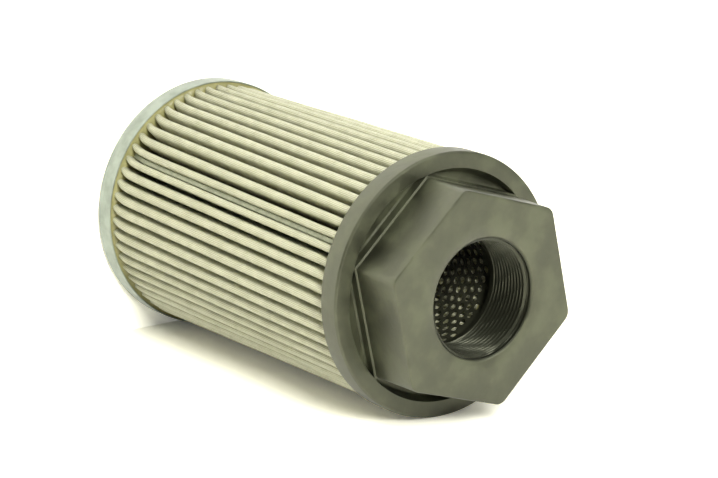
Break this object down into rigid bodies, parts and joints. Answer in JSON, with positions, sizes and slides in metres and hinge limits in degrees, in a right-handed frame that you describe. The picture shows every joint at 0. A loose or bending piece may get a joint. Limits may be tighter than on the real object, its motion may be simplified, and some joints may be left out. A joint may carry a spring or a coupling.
{
  "type": "hydraulic suction strainer",
  "caption": "Cylindrical suction strainer with a hexagon screw-in head, a pleated wire mesh pack on a perforated core tube and a closed end cap.",
  "frame": {"origin": "centre of the closed end cap's outer face, which stands on z = 0", "axes": "+Z along the strainer's axis, from the closed end cap to the threaded port; two corners of the hexagon lie on the Y axis; the side seam faces roughly -Y"},
  "size_m": [0.134, 0.134, 0.245],
  "materials": {
    "moulded_nylon": "black glass-filled nylon, moulded, satin",
    "perforated_steel": "zinc plated, dull",
    "woven_stainless": "fine plain weave, satin",
    "clip_steel": "zinc plated, semi-bright",
    "potting_adhesive": "cured, amber to olive",
    "zinc_plated_steel": "pressed, clear zinc plating"
  },
  "bodies": {
    "root": {"hex_head": "moulded_nylon", "core_tube": "perforated_steel", "pleated_mesh": "woven_stainless", "seam_clip": "clip_steel", "head_potting": "potting_adhesive", "end_potting": "potting_adhesive", "end_cap": "zinc_plated_steel"}
  },
  "joints": []
}
